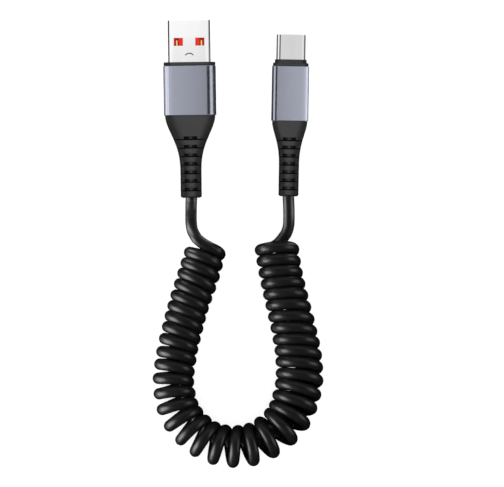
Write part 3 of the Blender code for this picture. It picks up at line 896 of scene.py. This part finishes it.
def make_shell_a(plug, materials):
    """The USB-A shell with its windows, its stamped arc and the seam under it, and the tongue inside."""
    collar_front = plug.sleeve_front + plug.collar_length
    mouth = collar_front + plug.shell_length
    shell_back = collar_front - plug.shell_seat
    half = plug.shell_thickness / 2
    mesh = ring_shell("usb_a_shell_skin", plug, shell_back, mouth)
    steel = materials["bright_steel"]
    shell = add_piece("usb_a_shell_tube", mesh, plug, steel, "bright_steel", "usb_a_shell")
    window = mouth - WINDOW_FROM_MOUTH
    cutter = bmesh.new()
    for side in (-1, 1):
        x = side * WINDOW_OFFSET
        add_box(
            cutter,
            (x - WINDOW_WIDTH / 2, x + WINDOW_WIDTH / 2),
            (window - WINDOW_LENGTH / 2, window + WINDOW_LENGTH / 2),
            (-2 * half, 2 * half),
        )
    arc_middle = collar_front + ARC_FROM_COLLAR - ARC_RADIUS
    wall_under = half - plug.shell_wall
    add_arc_block(cutter, arc_middle, ARC_RADIUS, ARC_WIDTH, (wall_under - FIT / 2, 2 * half))
    seam = SEAM_WIDTH / 2
    add_box(cutter, (-seam, seam), (collar_front, mouth + plug.shell_wall), (-2 * half, -wall_under))
    cut_piece(shell, cutter, plug)

    top = wall_under - FIT
    outline = [
        (shell_back, 0.0),
        *arc(mouth - TONGUE_SETBACK - TONGUE_EDGE, TONGUE_EDGE, TONGUE_EDGE, 0, 90, 2),
    ]
    mesh = profile_mesh(
        "usb_a_tongue_skin",
        outline,
        plug.shell_width - 2 * (plug.shell_wall + FIT),
        TONGUE_THICKNESS,
        plug.shell_corner - plug.shell_wall,
        steps=TONGUE_CORNER_STEPS,
    )
    mesh.transform(Matrix.Translation((0, 0, top - TONGUE_THICKNESS / 2)))
    tongue = add_piece(
        "usb_a_tongue_bar", mesh, plug, materials["orange_plastic"], "orange_plastic", "usb_a_tongue"
    )
    cutter = bmesh.new()
    slot_front = window + WINDOW_LENGTH / 2 + TAIL_SLOT_LEAD
    slot_back = window - WINDOW_LENGTH
    for side in (-1, 1):
        x = side * TAIL_SLOT_OFFSET
        add_box(
            cutter,
            (x - TAIL_SLOT_WIDTH / 2, x + TAIL_SLOT_WIDTH / 2),
            (slot_back, slot_front),
            (top - TAIL_SLOT_DEPTH, half),
        )
    add_arc_block(cutter, arc_middle, ARC_RADIUS, ARC_RECESS_WIDTH, (top - TAIL_SLOT_DEPTH, half))
    cut_piece(tongue, cutter, plug)
    for side, word in ((-1, "left"), (1, "right")):
        x = side * TAIL_SLOT_OFFSET
        shape = bmesh.new()
        add_box(
            shape,
            (x - TAIL_WIDTH / 2, x + TAIL_WIDTH / 2),
            (slot_back - TAIL_PAST_SLOT, slot_front - TAIL_SHORT_OF_SLOT),
            (top - TAIL_SINK - TAIL_THICKNESS, top - TAIL_SINK),
        )
        bmesh.ops.bevel(shape, geom=shape.edges, offset=TAIL_EDGE, segments=2, affect="EDGES")
        mesh = finish_mesh(f"usb_a_contact_tail_{word}_skin", shape)
        add_piece(f"usb_a_contact_tail_{word}", mesh, plug, materials["gold_contact"], "gold_contact")


def make_shell_c(plug, materials):
    """The drawn USB-C shell."""
    front = plug.sleeve_front + plug.collar_length + STEP_LENGTH
    mesh = ring_shell("usb_c_shell_skin", plug, front - plug.shell_seat, front + plug.shell_length)
    add_piece("usb_c_shell_tube", mesh, plug, materials["satin_steel"], "satin_steel", "usb_c_shell")


def dress_cad_nodes(materials):
    """CAD nodes that stay get their finishes."""
    for row in frame["record"]["subparts"]:
        node = frame["nodes"][row["node"]]
        if not node.hide_render:
            node.data.materials.clear()
            node.data.materials.append(materials[row["material_slot"]])


def make_world():
    """Even light from the whole sky, which no surface mirrors."""
    world = bpy.data.worlds.new("studio")
    bpy.context.scene.world = world
    world.use_nodes = True
    background = world.node_tree.nodes["Background"]
    background.inputs["Color"].default_value = (1.0, 1.0, 1.0, 1.0)
    background.inputs["Strength"].default_value = SKY
    world.cycles_visibility.glossy = False


def link_to(light, pieces):
    """The light falls on those pieces alone."""
    lit = bpy.data.collections.new(f"{light.name}_lit")
    for piece in pieces:
        lit.objects.link(piece)
    light.light_linking.receiver_collection = lit


def light_floor(floor):
    """The floor has a light of its own that nothing shades."""
    data = bpy.data.lights.new("floor_sky", "SUN")
    data.angle = math.radians(180)
    data.energy = math.pi * FLOOR_LIGHT
    sky = bpy.data.objects.new("floor_sky", data)
    sky.visible_glossy = False
    data.cycles.use_multiple_importance_sampling = False
    bpy.context.scene.collection.objects.link(sky)
    link_to(sky, [floor])
    blockers = bpy.data.collections.new("floor_sky_blockers")
    blockers.objects.link(floor)
    sky.light_linking.blocker_collection = blockers


def add_softbox(name, aim, angle, turn, reach, spread, radiance, pieces):
    """A softbox at a distance from its aim, that fills some degrees each side of its middle.

    Its middle lies at an angle from overhead, to the right and then turned towards the mouths.
    """
    away = Vector((0, 0, 1))
    away.rotate(Matrix.Rotation(math.radians(angle), 3, "Y"))
    away.rotate(Matrix.Rotation(math.radians(turn), 3, "Z"))
    facing = Matrix.Rotation(math.radians(turn), 4, "Z") @ Matrix.Rotation(math.radians(angle), 4, "Y")
    data = bpy.data.lights.new(name, "AREA")
    data.shape = "RECTANGLE"
    data.size, data.size_y = (2 * reach * math.tan(math.radians(half)) for half in spread)
    data.energy = math.pi * data.size * data.size_y * radiance
    box = bpy.data.objects.new(name, data)
    box.matrix_world = Matrix.Translation(Vector(aim) + reach * away) @ facing
    bpy.context.scene.collection.objects.link(box)
    link_to(box, pieces)


def add_softboxes(name, aim, rows, pieces, side=1):
    """Softboxes with one aim, from rows of their values, mirrored where the side is -1."""
    for word, angle, turn, reach, spread, radiance in rows:
        add_softbox(f"{name}_{word}", aim, side * angle, turn, reach, spread, radiance, pieces)


def light_sleeve(plug, side, piece, face):
    """A sleeve: a bright box on its outer side, a softer one across, and half a box overhead."""
    aim = plug.place @ Vector((0, plug.boot_length + plug.sleeve_length / 2, plug.height))
    name = f"{plug.name}_sleeve"
    add_softboxes(name, aim, SLEEVE_SIDE_BOXES, [piece], side)
    overhead = aim + Vector((side * SLEEVE_FACE_OFFSET, 0, 0))
    add_softbox(f"{name}_face", overhead, 0, 0, SLEEVE_FACE_REACH, SLEEVE_FACE_SPREAD, face, [piece])
    add_softboxes(name, aim, SLEEVE_END_BOXES, [piece])


def make_lights(floor):
    """Softboxes for the plugs' metals, for the cord, for the boots and for all the rest."""
    pieces = {piece.name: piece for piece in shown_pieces()}
    metals = [piece for name, piece in pieces.items() if name in METAL_SKINS]
    light_floor(floor)
    add_softboxes("all", ROOM_AIM, [ROOM_BOX], pieces.values())
    light_sleeve(USB_A, -1, pieces.pop("usb_a_sleeve_tube"), SLEEVE_FACE_A)
    light_sleeve(USB_C, 1, pieces.pop("usb_c_sleeve_tube"), SLEEVE_FACE_C)

    shell_a = [pieces.pop("usb_a_shell_tube")]
    aim = USB_A.place @ Vector((0, SHELL_A_MIDDLE, 0))
    add_softboxes("usb_a_shell", aim, SHELL_A_FACE_BOXES, shell_a)
    add_softboxes("usb_a_shell", aim + Vector((0, SHELL_A_WASH_OFFSET, 0)), [SHELL_A_WASH_BOX], shell_a)
    add_softboxes("usb_a_shell", aim, SHELL_A_EDGE_BOXES, shell_a)
    shell_c = [pieces.pop("usb_c_shell_tube")]
    aim = USB_C.place @ Vector((0, SHELL_C_MIDDLE, 0))
    add_softboxes("usb_c_shell", aim, SHELL_C_BOXES, shell_c)
    add_softboxes("metals", METALS_AIM, METALS_BOXES, metals)

    cord_only = [pieces.pop("cord")]
    add_softboxes("cord", CORD_AIM, CORD_BOXES, cord_only)
    for plug, rows in ((USB_A, LEAD_A_BOXES), (USB_C, LEAD_C_BOXES)):
        aim = (plug.exit[0], plug.exit[1] - LEAD_AIM_BEHIND, LEAD_AIM_HEIGHT)
        add_softboxes(plug.name, aim, rows, cord_only)

    boots = [pieces.pop("usb_a_boot"), pieces.pop("usb_c_boot")]
    add_softboxes("boot", BOOTS_AIM, BOOT_BOXES, boots)
    add_softboxes("rest", REST_AIM, [REST_BOX], list(pieces.values()))


def make_floor():
    """A plain pale floor that the metals don't mirror."""
    shape = bmesh.new()
    bmesh.ops.create_grid(shape, x_segments=1, y_segments=1, size=FLOOR_HALF_SIZE)
    mesh = bpy.data.meshes.new("floor")
    shape.to_mesh(mesh)
    shape.free()
    floor = bpy.data.objects.new("floor", mesh)
    bpy.context.scene.collection.objects.link(floor)
    material, shader = new_material("floor", (FLOOR_WHITE, FLOOR_WHITE, FLOOR_WHITE), 0.9)
    shader.inputs["Specular IOR Level"].default_value = 0.1
    mesh.materials.append(material)
    floor.visible_glossy = False
    floor.visible_shadow = False
    floor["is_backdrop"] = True
    return floor


make_camera()
materials = make_materials()
cord, cord_length = make_cord(materials["cord_jacket"])
for plug in (USB_A, USB_C):
    make_boot(plug, materials)
    make_sleeve(plug, materials)
make_collar_a(USB_A, materials)
make_collar_c(USB_C, materials)
make_shell_a(USB_A, materials)
make_shell_c(USB_C, materials)
dress_cad_nodes(materials)
make_world()
make_lights(make_floor())
bpy.context.scene.view_settings.view_transform = "Standard"
